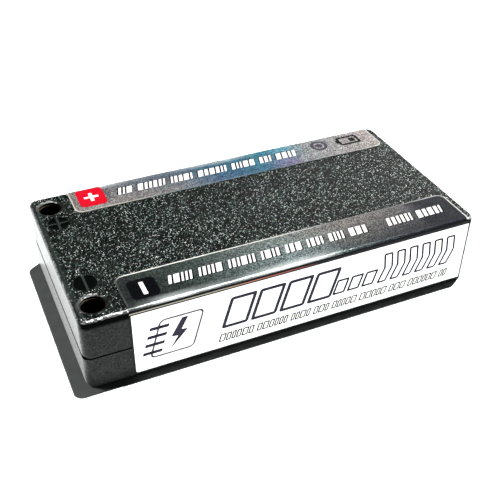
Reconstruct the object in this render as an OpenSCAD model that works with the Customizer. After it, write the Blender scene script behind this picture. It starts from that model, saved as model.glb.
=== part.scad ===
// Hard-case LiPo battery pack for radio-controlled cars, in the long and low format.
// Two flat pouch cells lie one above the other and are joined in parallel. Their tabs meet on
// a pair of busbars, which feed two bullet sockets set into the top face.
//
// Millimetres, +Z up. The origin is the centre of the underside. +X runs along the case, away
// from the sockets. The negative socket is on the -Y side and the positive one on the +Y side.

/* [Case] */
// Length of the case
case_l = 93; // [88:0.5:110]
// Width of the case
case_w = 47; // [46:0.5:52]
// Height of the case
case_h = 17.8; // [17.6:0.1:20]
// Radius of the four upright corners
corner_r = 2; // [1.8:0.1:4]
// Radius of the rounded edge around the top face
top_edge_r = 0.85; // [0.6:0.05:1.2]
// Radius of the rounded edge around the underside
bottom_edge_r = 0.6; // [0.4:0.1:1]
// Thickness of the side walls
wall = 1.2; // [1:0.05:1.4]
// Thickness of the top face and of the floor
skin = 1.2; // [1:0.05:1.5]

/* [Seam] */
// Height of the seam between the two shells
seam_z = 8.1; // [7:0.1:8.4]
// Open gap that the seam shows on the outside
seam_gap = 0.25; // [0.1:0.05:0.4]
// Height of the lip that stands up inside the upper shell
lip_h = 1.5; // [1:0.1:2]
// Gap between the lip and the upper shell
lip_gap = 0.05; // [0.02:0.01:0.1]

/* [Sockets] */
// Bore of a socket, for a 5 mm bullet plug
bore_d = 5; // [4:0.5:5]
// Wall thickness of the socket tube
tube_wall = 0.5; // [0.4:0.05:0.5]
// Distance between the two sockets
socket_pitch = 36.8; // [36.4:0.1:38]
// Distance from the end of the case to the sockets
socket_inset = 4.1; // [4.1:0.05:4.3]
// How far the rim of a socket lies below the top face
socket_sink = 0.75; // [0.6:0.05:0.9]
// Depth of the bore
bore_depth = 12.5; // [11:0.5:12.5]
// Width of the sloping mouth around the holes in the top face
mouth_w = 0.6; // [0.3:0.05:0.6]
// Depth of the sloping mouth
mouth_drop = 0.28; // [0.2:0.02:0.4]

/* [Polarity marks] */
// Diameter of the sunk discs
mark_d = 5; // [4:0.1:5.2]
// Distance between the two discs
mark_pitch = 23; // [20:0.1:26]
// Distance from the end of the case to the discs
mark_inset = 4.5; // [4.3:0.1:6]
// Depth of the discs
mark_sink = 0.3; // [0.2:0.05:0.5]
// Width of the bars of the plus and minus signs
mark_bar = 0.5; // [0.4:0.05:0.8]

/* [Labels] */
// Thickness of the label film
label_t = 0.12; // [0.08:0.01:0.2]
// Distance from the end of the case to the front label
front_label_inset = 10; // [9:0.1:14]
// Distance from the end of the case to the back label
back_label_inset = 9.2; // [9:0.1:14]
// Width of the front label on the top face, measured from the side of the case
front_strip_w = 11.1; // [8:0.1:12]
// Width of the back label on the top face, measured from the side of the case
back_strip_w = 9.9; // [8:0.1:12]
// Height of the lower edge of the labels
label_foot_z = 0.9; // [0.6:0.1:2]
// How far the side panels run on round the far corners, in degrees
label_wrap = 5; // [4:1:60]
// Corner radius of the labels on the top face
strip_corner_r = 2; // [0.5:0.1:3]
// Corner radius of the labels at their lower edge
foot_corner_r = 1; // [0.5:0.1:2]

/* [Cells] */
// Width of the cell tabs
tab_w = 10; // [8:0.5:10]
// Thickness of the cell tabs
tab_t = 0.2; // [0.1:0.05:0.3]
// Distance from the middle of the case to the middle of a tab
tab_y = 9; // [8.5:0.1:9.2]
// Thickness of the pouch film
film_t = 0.15; // [0.1:0.01:0.2]
// Length of the sealed edge that the tabs come out of
terrace_l = 2.6; // [2:0.1:3]

/* [Pads and tapes] */
// Thickness of the foam between the upper cell and the top face
top_pad_t = 0.6; // [0.4:0.1:1]
// Thickness of the foam at the far end of the cells
end_pad_t = 0.7; // [0.5:0.1:2]
// Thickness of the double-sided tapes
tape_t = 0.2; // [0.1:0.05:0.3]

/* [Hidden] */
$fn = 96;

// A cut runs past the face it opens by this much.
cut = 0.5;
// Clearance of parts that only touch.
slack = 0.02;

// The shells meet here, with the seam gap between them.
upper_foot_z = seam_z + seam_gap / 2;
lower_rim_z = seam_z - seam_gap / 2;
ceiling_z = case_h - skin;
cavity_l = case_l - 2 * wall;
cavity_w = case_w - 2 * wall;
cavity_r = corner_r - wall;
// The outer half of the upper shell's wall, outside the lip
rebate_wall = wall / 2;
lip_top_z = upper_foot_z + lip_h;

// Sockets, from the top down
socket_x = socket_inset - case_l / 2;
socket_y = socket_pitch / 2;
bore_r = bore_d / 2;
tube_r = bore_r + tube_wall;
tube_clear_r = tube_r + 0.05;
rim_chamfer = 0.2;
rim_z = case_h - socket_sink;
bore_floor_z = rim_z - bore_depth;
tube_foot_z = bore_floor_z - 1.25;
spigot_r = 1.4;
spigot_l = 1.6;
// The throat of the hole overhangs the socket's rim and stops it from rising.
throat_r = bore_r + 0.1;
shoulder_r = tube_r + 0.3;
shoulder_t = 0.8;
shoulder_top_z = rim_z - 6;
collar_wall = 1;

// Terminal end, from the sockets towards the cells
busbar_t = 0.5;
busbar_x = socket_x + tube_r + 0.2;
board_t = 1;
board_x = busbar_x + busbar_t;
board_gap = 0.1;
collar_flat_x = board_x - board_gap;
insulator_t = 0.2;
// How far the ribs that hold the board stand out of the side walls
guide_w = 1;
insulator_x = board_x + board_t + board_gap;
terrace_x = insulator_x + insulator_t + 0.2;
terrace_t = 0.7;

// Busbar outline
leg_near_y = tab_y - tab_w / 2 - 0.5;
leg_far_y = tab_y + tab_w / 2 + 0.6;
lug_r = tube_r - 0.2;
tab_slot_w = tab_w + 0.4;
tab_slot_h = tab_t + 0.4;

// Cells, from the floor up
cell_x = terrace_x + terrace_l;
cell_l = case_l / 2 - wall - end_pad_t - cell_x;
cell_w = cavity_w - 1.6;
cell_t = (ceiling_z - skin - top_pad_t - 2 * tape_t) / 2;
cell_corner_r = 1.2;
lower_cell_z = skin + tape_t;
upper_cell_z = lower_cell_z + cell_t + tape_t;
// Middle height of the tabs of the two cells
tab_heights = [lower_cell_z + cell_t / 2, upper_cell_z + cell_t / 2];
fold_t = 0.3;
electrode_gap = 0.4;
// The folded end of each tab stops short of the middle by this much.
tab_end_gap = 0.35;

// ---- Shapes shared by several parts ----

// A quarter of a disc in the first quadrant.
module quarter_disc(r) {
    intersection() {
        circle(r = r);
        square(r);
    }
}

// What is left of a square when the quarter disc is taken from it: the cutter of a round corner.
module corner_waste(r) {
    difference() {
        square(r + cut);
        circle(r = r);
    }
}

// A rectangle centred on the origin with round corners.
module rounded_rect(l, w, r) {
    square([l - 2 * r, w], center = true);
    for (side = [-1, 1])
        translate([side * (l - r) / 2, 0])
            square([r, w - 2 * r], center = true);
    for (mx = [0, 1], my = [0, 1])
        mirror([mx, 0])
            mirror([0, my])
                translate([l / 2 - r, w / 2 - r])
                    quarter_disc(r);
}

// A slab between two heights with round upright corners.
module rounded_slab(l, w, r, z0, z1) {
    translate([0, 0, z0])
        linear_extrude(z1 - z0)
            rounded_rect(l, w, r);
}

// Cross-section of a rim: r wide and h high, with its outer top edge rounded.
module rim_profile(r, h, edge_r) {
    square([r - edge_r, h]);
    translate([r - edge_r, 0])
        square([edge_r, h - edge_r]);
    translate([r - edge_r, h - edge_r])
        quarter_disc(edge_r);
}

// The solid outside of one shell: a block on z = 0 with round upright corners and a rounded
// edge around its top face. Its pieces meet on flat faces only.
module crowned_block(l, w, h, r, edge_r) {
    half_l = l / 2 - r;
    half_w = w / 2 - r;
    translate([-half_l, -half_w, 0])
        cube([2 * half_l, 2 * half_w, h]);
    for (mx = [0, 1], my = [0, 1])
        mirror([mx, 0, 0])
            mirror([0, my, 0])
                translate([half_l, half_w, 0])
                    rotate_extrude(angle = 90)
                        rim_profile(r, h, edge_r);
    for (mx = [0, 1])
        mirror([mx, 0, 0])
            translate([half_l, half_w, 0])
                rotate([90, 0, 0])
                    linear_extrude(2 * half_w)
                        rim_profile(r, h, edge_r);
    for (my = [0, 1])
        mirror([0, my, 0])
            translate([-half_l, half_w, 0])
                rotate([90, 0, 90])
                    linear_extrude(2 * half_l)
                        rim_profile(r, h, edge_r);
}

// Repeats its children at both sockets.
module at_sockets() {
    for (side = [-1, 1])
        translate([socket_x, side * socket_y, 0])
            children();
}

// A round cut or post between two heights.
module column(r, z0, z1) {
    translate([0, 0, z0])
        cylinder(r = r, h = z1 - z0);
}

// ---- Case ----

// The hole above one socket: sloping mouth, throat, then the seat of the tube and, from below,
// the pocket that lets its shoulder in. The slope runs on past the top face.
module socket_hole() {
    slope_h = mouth_drop + cut;
    translate([0, 0, case_h - mouth_drop])
        cylinder(r1 = throat_r, r2 = throat_r + mouth_w * slope_h / mouth_drop, h = slope_h);
    column(throat_r, rim_z, case_h);
    column(tube_clear_r, shoulder_top_z - cut, rim_z + slack);
    column(shoulder_r + 0.05, upper_foot_z - cut, shoulder_top_z + slack);
}

// The sleeve that hangs from the top face and guides a socket tube. It is flat on the side
// next to the board.
module socket_collar() {
    intersection() {
        column(tube_clear_r + collar_wall, shoulder_top_z, ceiling_z + skin / 2);
        translate([-2 * tube_r, -2 * tube_r, 0])
            cube([2 * tube_r + collar_flat_x - socket_x, 4 * tube_r, case_h]);
    }
}

// A sunk disc whose minus sign, and upright stroke if it is a plus, stay flush with the face.
module polarity_cut(plus) {
    translate([0, 0, case_h - mark_sink])
        linear_extrude(mark_sink + cut)
            difference() {
                circle(r = mark_d / 2);
                square([mark_bar, mark_d + 1], center = true);
                if (plus)
                    square([mark_d + 1, mark_bar], center = true);
            }
}

module upper_shell() {
    rebate_l = case_l - 2 * rebate_wall;
    rebate_w = case_w - 2 * rebate_wall;
    color("dimgray")
        difference() {
            union() {
                difference() {
                    translate([0, 0, upper_foot_z])
                        crowned_block(case_l, case_w, case_h - upper_foot_z, corner_r, top_edge_r);
                    rounded_slab(cavity_l, cavity_w, cavity_r, upper_foot_z - cut, ceiling_z);
                    rounded_slab(rebate_l, rebate_w, corner_r - rebate_wall,
                                 upper_foot_z - cut, lip_top_z);
                }
                at_sockets()
                    socket_collar();
            }
            at_sockets()
                socket_hole();
            translate([mark_inset - case_l / 2, mark_pitch / 2, 0])
                polarity_cut(true);
            translate([mark_inset - case_l / 2, -mark_pitch / 2, 0])
                polarity_cut(false);
        }
}

// Ribs on both side walls that hold the terminal board upright.
module board_guides() {
    rib_t = 0.8;
    rib_mid_y = (cavity_w - guide_w) / 2;
    for (side = [-1, 1], x = [board_x - board_gap - rib_t, board_x + board_t + board_gap])
        translate([x, side * rib_mid_y - guide_w / 2, skin / 2])
            cube([rib_t, guide_w, lower_rim_z - skin / 2 - 0.4]);
}

// A ring on the floor that carries the lug under one socket.
module lug_rest() {
    difference() {
        column(lug_r, skin / 2, tube_foot_z - busbar_t);
        column(lug_r - 0.6, skin, tube_foot_z);
    }
}

module lower_shell() {
    lip_inset = rebate_wall + lip_gap;
    color("dimgray") {
        difference() {
            union() {
                translate([0, 0, lower_rim_z])
                    mirror([0, 0, 1])
                        crowned_block(case_l, case_w, lower_rim_z, corner_r, bottom_edge_r);
                rounded_slab(case_l - 2 * lip_inset, case_w - 2 * lip_inset,
                             corner_r - lip_inset, lower_rim_z, lip_top_z - lip_gap);
            }
            rounded_slab(cavity_l, cavity_w, cavity_r, skin, case_h);
            at_sockets()
                column(tube_clear_r, tube_foot_z - busbar_t, case_h);
        }
        board_guides();
        at_sockets()
            lug_rest();
    }
}

// ---- Labels ----

// Film seen along the case: down the side wall, over the rounded edge, and flat_w inwards over
// the top face. x is measured outwards from the axis of the upright corner; y is the height.
module label_profile(flat_w) {
    bend_x = corner_r - top_edge_r;
    bend_z = case_h - top_edge_r;
    translate([corner_r, label_foot_z])
        square([label_t, bend_z - label_foot_z]);
    translate([bend_x, bend_z])
        difference() {
            quarter_disc(top_edge_r + label_t);
            circle(r = top_edge_r);
        }
    translate([bend_x - flat_w, case_h])
        square([flat_w, label_t]);
}

// A label for the +Y side. It starts at the given distance from the socket end, covers a
// strip of the top face, folds over the edge and ends a little way round the far corner.
module wrap_label(inset, strip_w) {
    start_x = inset - case_l / 2;
    corner_x = case_l / 2 - corner_r;
    corner_y = case_w / 2 - corner_r;
    strip_y = case_w / 2 - strip_w;
    difference() {
        union() {
            translate([start_x, corner_y, 0])
                rotate([90, 0, 90])
                    linear_extrude(corner_x - start_x)
                        label_profile(strip_w - top_edge_r);
            translate([corner_x, corner_y, 0])
                rotate([0, 0, 90])
                    mirror([0, 1, 0])
                        rotate_extrude(angle = label_wrap)
                            label_profile(corner_r - top_edge_r);
        }
        translate([start_x + strip_corner_r, strip_y + strip_corner_r, case_h - cut])
            rotate([0, 0, 180])
                linear_extrude(1)
                    corner_waste(strip_corner_r);
        translate([corner_x - strip_corner_r, strip_y + strip_corner_r, case_h - cut])
            rotate([0, 0, -90])
                linear_extrude(1)
                    corner_waste(strip_corner_r);
        translate([start_x + foot_corner_r, case_w / 2 + cut, label_foot_z + foot_corner_r])
            rotate([90, 180, 0])
                linear_extrude(1)
                    corner_waste(foot_corner_r);
    }
}

module front_label() {
    color("gainsboro")
        mirror([0, 1, 0])
            wrap_label(front_label_inset, front_strip_w);
}

module back_label() {
    color("lightsteelblue")
        wrap_label(back_label_inset, back_strip_w);
}

// ---- Terminals: the positive side is built at +Y, and the negative side is its mirror image ----

module socket() {
    translate([socket_x, socket_y, 0])
        difference() {
            union() {
                column(tube_r, tube_foot_z, rim_z);
                column(shoulder_r, shoulder_top_z - shoulder_t, shoulder_top_z);
                column(spigot_r, tube_foot_z - spigot_l, tube_foot_z);
            }
            column(bore_r, bore_floor_z, rim_z + cut);
            translate([0, 0, rim_z - rim_chamfer])
                cylinder(r1 = bore_r, r2 = bore_r + rim_chamfer + cut, h = rim_chamfer + cut);
        }
}

module positive_socket() {
    color("gold")
        socket();
}

module negative_socket() {
    color("gold")
        mirror([0, 1, 0])
            socket();
}

// Slots for the tabs of one side, cut along X.
module tab_slots(x, depth, w, h) {
    for (z = tab_heights)
        translate([x, tab_y - w / 2, z - h / 2])
            cube([depth, w, h]);
}

// A strip bent from copper: a slotted leg against the board, and a lug under the socket.
module busbar() {
    leg_z = tube_foot_z - busbar_t;
    leg_top_z = tab_heights[1] + 1.8;
    side_top_z = shoulder_top_z - shoulder_t - 0.4;
    lug_edge_y = socket_y + lug_r - 0.6;
    difference() {
        union() {
            translate([busbar_x, leg_near_y, leg_z])
                cube([busbar_t, leg_far_y - leg_near_y, leg_top_z - leg_z]);
            translate([busbar_x, leg_far_y, leg_z])
                cube([busbar_t, lug_edge_y - leg_far_y, side_top_z - leg_z]);
            translate([socket_x, socket_y - lug_r + 0.6, leg_z])
                cube([busbar_x - socket_x, 2 * lug_r - 1.2, busbar_t]);
            translate([socket_x, socket_y, 0])
                column(lug_r, leg_z, tube_foot_z);
        }
        translate([socket_x, socket_y, 0])
            column(spigot_r + 0.03, leg_z - cut, tube_foot_z + cut);
        tab_slots(busbar_x - cut, busbar_t + 2 * cut, tab_slot_w, tab_slot_h);
    }
}

module positive_busbar() {
    color("orange")
        busbar();
}

module negative_busbar() {
    color("orange")
        mirror([0, 1, 0])
            busbar();
}

// Solder of one side: a cone under the lug, and a bead that joins the two tab ends to the leg.
module solder() {
    lug_foot_z = tube_foot_z - busbar_t;
    cone_h = spigot_l - busbar_t - 0.2;
    bead_r = tab_end_gap - slack;
    bead_w = tab_w - 1;
    mid_z = (tab_heights[0] + tab_heights[1]) / 2;
    translate([socket_x, socket_y, 0])
        difference() {
            translate([0, 0, lug_foot_z - cone_h])
                cylinder(r1 = spigot_r + 0.2, r2 = spigot_r + 0.6, h = cone_h);
            column(spigot_r + slack / 2, lug_foot_z - 2, lug_foot_z + cut);
        }
    translate([busbar_x, tab_y + bead_w / 2, mid_z])
        rotate([90, 0, 0])
            linear_extrude(bead_w)
                intersection() {
                    circle(r = bead_r);
                    translate([-bead_r, -bead_r])
                        square([bead_r, 2 * bead_r]);
                }
}

module positive_solder() {
    color("silver")
        solder();
}

module negative_solder() {
    color("silver")
        mirror([0, 1, 0])
            solder();
}

module both_sides() {
    for (my = [0, 1])
        mirror([0, my, 0])
            children();
}

module terminal_board() {
    board_w = cavity_w - 2 * board_gap;
    board_h = ceiling_z - skin - 2 * board_gap;
    color("darkgreen")
        difference() {
            translate([board_x, -board_w / 2, skin + board_gap])
                cube([board_t, board_w, board_h]);
            both_sides()
                tab_slots(board_x - cut, board_t + 2 * cut, tab_slot_w, tab_slot_h);
        }
}

module tab_insulator() {
    sheet_w = cavity_w - 2 * guide_w - 0.6;
    sheet_h = ceiling_z - skin - 1;
    color("khaki")
        difference() {
            translate([insulator_x, -sheet_w / 2, skin + tape_t])
                cube([insulator_t, sheet_w, sheet_h]);
            both_sides()
                tab_slots(insulator_x - cut, insulator_t + 2 * cut, tab_slot_w, tab_slot_h);
        }
}

// ---- Cells ----

// The film pouch of one cell: a drawn box, the terrace that the tabs come out of, and the
// long sealed edges folded up against its sides.
module pouch(z) {
    mid_x = cell_x + cell_l / 2;
    fold_l = cell_l - 2 * cell_corner_r - 1;
    fold_h = cell_t - 1;
    difference() {
        union() {
            translate([mid_x, 0, 0])
                rounded_slab(cell_l, cell_w, cell_corner_r, z, z + cell_t);
            translate([terrace_x, 1 - cell_w / 2, z + (cell_t - terrace_t) / 2])
                cube([terrace_l, cell_w - 2, terrace_t]);
            for (side = [-1, 1])
                translate([mid_x - fold_l / 2, side * (cell_w + fold_t) / 2 - fold_t / 2, z + 0.5])
                    cube([fold_l, fold_t, fold_h]);
        }
        translate([mid_x, 0, 0])
            rounded_slab(cell_l - 2 * film_t, cell_w - 2 * film_t, cell_corner_r - film_t,
                         z + film_t, z + cell_t - film_t);
        both_sides()
            translate([terrace_x - cut, tab_y - tab_w / 2 - slack, z + (cell_t - tab_t) / 2 - slack])
                cube([terrace_l + film_t + 2 * cut, tab_w + 2 * slack, tab_t + 2 * slack]);
    }
}

module upper_pouch() {
    color("lightgray")
        pouch(upper_cell_z);
}

module lower_pouch() {
    color("lightgray")
        pouch(lower_cell_z);
}

// The wound and pressed electrodes of one cell.
module electrodes(z) {
    l = cell_l - 2 * electrode_gap;
    w = cell_w - 2 * electrode_gap;
    translate([cell_x + cell_l / 2, 0, 0])
        rounded_slab(l, w, cell_corner_r - electrode_gap, z + film_t + slack,
                     z + cell_t - film_t - slack);
}

module upper_electrodes() {
    color("dimgray")
        electrodes(upper_cell_z);
}

module lower_electrodes() {
    color("dimgray")
        electrodes(lower_cell_z);
}

// A tab on the +Y side. It runs from the electrodes through the terrace, the insulator, the
// board and the busbar, and its end is folded flat on the busbar towards the other cell.
module tab(z, fold_up) {
    inner_x = cell_x + electrode_gap;
    outer_x = busbar_x - tab_t;
    fold_end = (tab_heights[0] + tab_heights[1]) / 2;
    fold_len = abs(fold_end - z) - tab_end_gap + tab_t / 2;
    translate([outer_x, tab_y - tab_w / 2, z - tab_t / 2])
        cube([inner_x - outer_x, tab_w, tab_t]);
    translate([outer_x, tab_y - tab_w / 2, fold_up ? z - tab_t / 2 : z + tab_t / 2 - fold_len])
        cube([tab_t, tab_w, fold_len]);
}

module upper_positive_tab() {
    color("silver")
        tab(tab_heights[1], false);
}

module upper_negative_tab() {
    color("darkkhaki")
        mirror([0, 1, 0])
            tab(tab_heights[1], false);
}

module lower_positive_tab() {
    color("silver")
        tab(tab_heights[0], true);
}

module lower_negative_tab() {
    color("darkkhaki")
        mirror([0, 1, 0])
            tab(tab_heights[0], true);
}

// ---- Pads and tapes ----

// A flat sheet that lies on or under the cells, set in from their edges.
module cell_sheet(inset, z0, t) {
    translate([cell_x + inset, inset - cell_w / 2, z0])
        cube([cell_l - 2 * inset, cell_w - 2 * inset, t]);
}

module cell_tape() {
    color("white")
        cell_sheet(4, upper_cell_z - tape_t, tape_t);
}

module floor_tape() {
    color("white")
        cell_sheet(4, skin, tape_t);
}

module top_pad() {
    color("darkslategray")
        cell_sheet(3, ceiling_z - top_pad_t, top_pad_t);
}

module end_pad() {
    pad_w = cell_w - 6;
    color("darkslategray")
        translate([cell_x + cell_l, -pad_w / 2, skin + 1])
            cube([end_pad_t, pad_w, ceiling_z - skin - 2]);
}

upper_shell();
lower_shell();
front_label();
back_label();
positive_socket();
negative_socket();
positive_busbar();
negative_busbar();
positive_solder();
negative_solder();
terminal_board();
tab_insulator();
upper_pouch();
lower_pouch();
upper_electrodes();
lower_electrodes();
upper_positive_tab();
upper_negative_tab();
lower_positive_tab();
lower_negative_tab();
cell_tape();
floor_tape();
top_pad();
end_pad();
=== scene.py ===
"""Looks of a hard-case LiPo battery pack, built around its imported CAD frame.

The CAD solids stay as they are and get procedural materials. The prints on the two labels are
thin raised shapes of ink, laid on the label's top strip and side panel.
"""

import math
import random

import bmesh
import bpy
from mathutils import Matrix, Vector


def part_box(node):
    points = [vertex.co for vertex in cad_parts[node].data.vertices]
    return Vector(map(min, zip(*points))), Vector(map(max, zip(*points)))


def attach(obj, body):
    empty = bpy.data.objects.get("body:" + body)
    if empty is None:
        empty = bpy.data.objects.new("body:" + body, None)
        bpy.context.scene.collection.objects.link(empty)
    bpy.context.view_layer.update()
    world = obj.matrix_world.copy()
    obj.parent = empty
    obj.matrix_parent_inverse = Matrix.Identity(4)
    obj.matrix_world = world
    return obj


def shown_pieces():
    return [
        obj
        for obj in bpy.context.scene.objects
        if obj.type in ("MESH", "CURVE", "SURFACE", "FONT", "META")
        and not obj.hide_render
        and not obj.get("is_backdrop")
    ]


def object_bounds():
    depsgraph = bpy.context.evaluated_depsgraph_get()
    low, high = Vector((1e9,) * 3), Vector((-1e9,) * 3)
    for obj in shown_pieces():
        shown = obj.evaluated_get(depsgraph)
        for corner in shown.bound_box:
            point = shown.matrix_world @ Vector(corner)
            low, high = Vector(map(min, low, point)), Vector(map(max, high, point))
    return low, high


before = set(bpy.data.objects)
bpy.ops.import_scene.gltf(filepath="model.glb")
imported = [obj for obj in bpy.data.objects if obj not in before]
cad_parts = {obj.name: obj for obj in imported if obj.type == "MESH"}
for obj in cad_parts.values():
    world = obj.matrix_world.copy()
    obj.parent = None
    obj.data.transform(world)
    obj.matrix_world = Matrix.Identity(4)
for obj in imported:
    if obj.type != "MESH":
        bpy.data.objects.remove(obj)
cad_low, cad_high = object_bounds()

MM = 0.001
RNG_SEED = 7

# Places on the object, from the frame
SHELL_LOW, SHELL_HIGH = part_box("upper_shell")
FRONT_LOW, FRONT_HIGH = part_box("front_label")
BACK_LOW, BACK_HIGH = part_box("back_label")
SOCKET_TOP_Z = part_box("negative_socket")[1].z
TOP_Z = SHELL_HIGH.z
SEAM_TOP_Z = SHELL_LOW.z
LABEL_TOP_Z = FRONT_HIGH.z
CASE_HALF_W = SHELL_HIGH.y
CENTRE = (cad_low + cad_high) / 2

# The foil strips on the top face end where the case's far corners start to turn.
CASE_CORNER_R = 2 * MM
STRIP_END_X = SHELL_HIGH.x - CASE_CORNER_R
STRIP_CORNER_R = 2 * MM

# The sunk discs of the polarity marks
MARK_X = SHELL_LOW.x + 4.5 * MM
MARK_Y = 11.5 * MM
MARK_R = 2.5 * MM

# The seam between the two shells shows as a gap this high, with a painted shadow beside it on the
# ends.
SEAM_GAP = 0.25 * MM
END_SEAM_SHADOW = 0.3 * MM

# Bands of a label below the top face, from the fold down to the white panel
FOLD_LINE_Z = TOP_Z - 0.28 * MM
TRIM_TOP_Z = TOP_Z - 0.74 * MM
PANEL_TOP_Z = TOP_Z - 1.3 * MM
PANEL_LINE = 0.38 * MM
EDGE_LINE = 0.3 * MM
FADE = 0.05 * MM

# Thickness of one layer of ink, in millimetres
INK_MM = 0.02


# ---------------------------------------------------------------- node helpers


def feed(tree, node, inputs):
    """Sets a node's inputs by name or number: a socket is linked, and a plain value is stored."""
    for key, value in inputs.items():
        if isinstance(value, bpy.types.NodeSocket):
            tree.links.new(value, node.inputs[key])
        else:
            node.inputs[key].default_value = value


def add_node(tree, kind, settings=None, inputs=None):
    node = tree.nodes.new("ShaderNode" + kind)
    for key, value in (settings or {}).items():
        setattr(node, key, value)
    feed(tree, node, inputs or {})
    return node


class Graph:
    """A material's node tree, with one short call for each kind of node."""

    def __init__(self, name):
        self.material = bpy.data.materials.new(name)
        self.material.use_nodes = True
        self.tree = self.material.node_tree
        self.bsdf = self.tree.nodes["Principled BSDF"]
        self.coords = self.add("TexCoord").outputs["Object"]
        self.axes = self.add("SeparateXYZ", {}, {0: self.coords}).outputs

    def add(self, kind, settings=None, inputs=None):
        return add_node(self.tree, kind, settings, inputs)

    def math(self, operation, a, b=0.0, clamp=False):
        settings = {"operation": operation, "use_clamp": clamp}
        return self.add("Math", settings, {0: a, 1: b}).outputs[0]

    def times(self, a, b):
        return self.math("MULTIPLY", a, b)

    def flipped(self, mask):
        """1 where the mask is 0, and 0 where it is 1."""
        return self.math("SUBTRACT", 1.0, mask)

    def length(self, a, b):
        """The length of a step of a along one axis and b along another."""
        squares = self.math("ADD", self.math("POWER", a, 2.0), self.math("POWER", b, 2.0))
        return self.math("SQRT", squares)

    def band(self, value, low, high):
        """0 below low, 1 above high, and straight between them. low may be the larger."""
        span = {"From Min": low, "From Max": high}
        return self.add("MapRange", {}, {"Value": value, **span}).outputs[0]

    def mix(self, factor, a, b, blend="MIX"):
        """The colour a where the factor is 0 and a blended with b where it is 1."""
        settings = {"data_type": "RGBA", "blend_type": blend}
        node = self.add("Mix", settings, {0: factor, 6: a, 7: b})
        return node.outputs[2]

    def ramp(self, factor, stops):
        """A colour for each value of the factor. A stop is a position and a colour."""
        node = self.add("ValToRGB", {}, {0: factor})
        elements = node.color_ramp.elements
        while len(elements) < len(stops):
            elements.new(0.5)
        for element, (position, colour) in zip(elements, stops):
            element.position = position
            element.color = colour
        return node.outputs[0]

    def lerp(self, factor, a, b):
        """The number a where the factor is 0 and b where it is 1."""
        return self.add("Mix", {}, {0: factor, 2: a, 3: b}).outputs[0]

    def spread(self, value, low, high):
        """A 0 to 1 value turned into low to high."""
        return self.add("MapRange", {}, {"Value": value, "To Min": low, "To Max": high}).outputs[0]

    def stretch(self, scale):
        """The coordinates scaled by its own factor along each axis."""
        return self.add("Mapping", {}, {"Vector": self.coords, "Scale": scale}).outputs[0]

    def noise(self, size, detail, roughness, vector=None):
        """Noise whose blobs are about `size` metres across."""
        inputs = {"Vector": vector or self.coords, "Scale": 1 / size}
        inputs.update({"Detail": detail, "Roughness": roughness})
        return self.add("TexNoise", {}, inputs).outputs[0]

    def cells(self, size, feature="F1"):
        """Distances within Voronoi cells about `size` metres across."""
        inputs = {"Vector": self.coords, "Scale": 1 / size}
        return self.add("TexVoronoi", {"feature": feature}, inputs).outputs[0]

    def cell_colour(self, size):
        """A random colour for each of the cells."""
        inputs = {"Vector": self.coords, "Scale": 1 / size}
        return self.add("TexVoronoi", {}, inputs).outputs[1]

    def cell_level(self, size):
        """A random level from 0 to 1 for each of the cells."""
        return self.add("SeparateColor", {}, {0: self.cell_colour(size)}).outputs[0]

    def bump(self, height, depth, strength):
        """The normal of a surface raised by up to `depth` metres where the height is 1."""
        inputs = {"Height": height, "Distance": depth, "Strength": strength}
        return self.add("Bump", {}, inputs).outputs[0]

    def facets(self, size, tilt, after):
        """The normal `after` tipped a different way in each grain of about `size` metres."""
        # The grain's random colour, from 0 to 1, becomes a direction, from -1 to 1.
        way = self.add("VectorMath", {"operation": "MULTIPLY_ADD"}, {
            0: self.cell_colour(size), 1: (2.0, 2.0, 2.0), 2: (-1.0, -1.0, -1.0)}).outputs[0]
        shift = self.add("VectorMath", {"operation": "SCALE"}, {0: way, 3: tilt}).outputs[0]
        tipped = self.add("VectorMath", {}, {0: after, 1: shift}).outputs[0]
        return self.add("VectorMath", {"operation": "NORMALIZE"}, {0: tipped}).outputs[0]

    def finish(self, **inputs):
        """Feeds the Principled shader. Underscores in a name stand for spaces."""
        spaced = {key.replace("_", " "): value for key, value in inputs.items()}
        feed(self.tree, self.bsdf, spaced)
        return self.material


def rgb(r, g, b):
    """A linear colour from 8-bit sRGB values."""

    def linear(value):
        c = value / 255
        return c / 12.92 if c <= 0.04045 else ((c + 0.055) / 1.055) ** 2.4

    return (linear(r), linear(g), linear(b), 1.0)


def grey(value):
    return rgb(value, value, value)


# ---------------------------------------------------------------- case plastic

# Tones of the flecks in the top face, from the dullest to the brightest: the grain's own tone, with
# the brightest ones painted glints
FLECK_AND_GLINT_STOPS = [
    (0.36, rgb(5, 9, 8)),
    (0.62, rgb(51, 64, 60)),
    (0.82, rgb(104, 121, 115)),
    (0.91, rgb(192, 209, 202)),
    (0.96, rgb(248, 254, 250)),
]
FLECK_SIZE = 0.25 * MM
# A fleck is a dot that fades out between these distances from its middle, in fleck sizes.
FLECK_RIM = 0.46
FLECK_CORE = 0.38

# Strength of the reflections where 0.5 is ordinary plastic
SIDE_SHINE = 0.085
TOP_SHINE = 0.17
EDGE_SHINE = 2.8
MOUTH_SHINE = 0.6
# The shine is uneven between these factors, though noise seldom comes near its ends.
LEAST_SHINE = -0.6
MOST_SHINE = 2.3
# How far the grains tip the surface, as a slope
GRAIN_TILT = 0.17
EDGE_TILT = 0.3
SIDE_TILT = 0.06

# Bounds of the upward part of the normal: on a level face, on the flecked face, on a face that
# is rather top than side, and on the rounded edge (where it falls)
LEVEL = (0.93, 0.99)
FLECKED = (0.92, 0.985)
UPWARD = (0.4, 0.6)
ROUNDED = (0.99, 0.96)
# Bounds of the sideways part of the normal on the long sides, and of the endways part on the ends
SIDEWAYS = (0.3, 0.7)
ENDWAYS = (0.5, 0.9)

# Bounds of the heights where a face counts as sunk, as the top's, as under the painted shade band
# and as the foot, where painted contact shade goes
SUNK_Z = (TOP_Z - 0.12 * MM, TOP_Z - 0.25 * MM)
NEAR_TOP_Z = (TOP_Z - 0.9 * MM, TOP_Z - 0.7 * MM)
PAINTED_SHADE_Z = (TOP_Z - 2.3 * MM, TOP_Z - 1.6 * MM)
FOOT_SHADE_Z = (1.0 * MM, 0.3 * MM)
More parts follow.
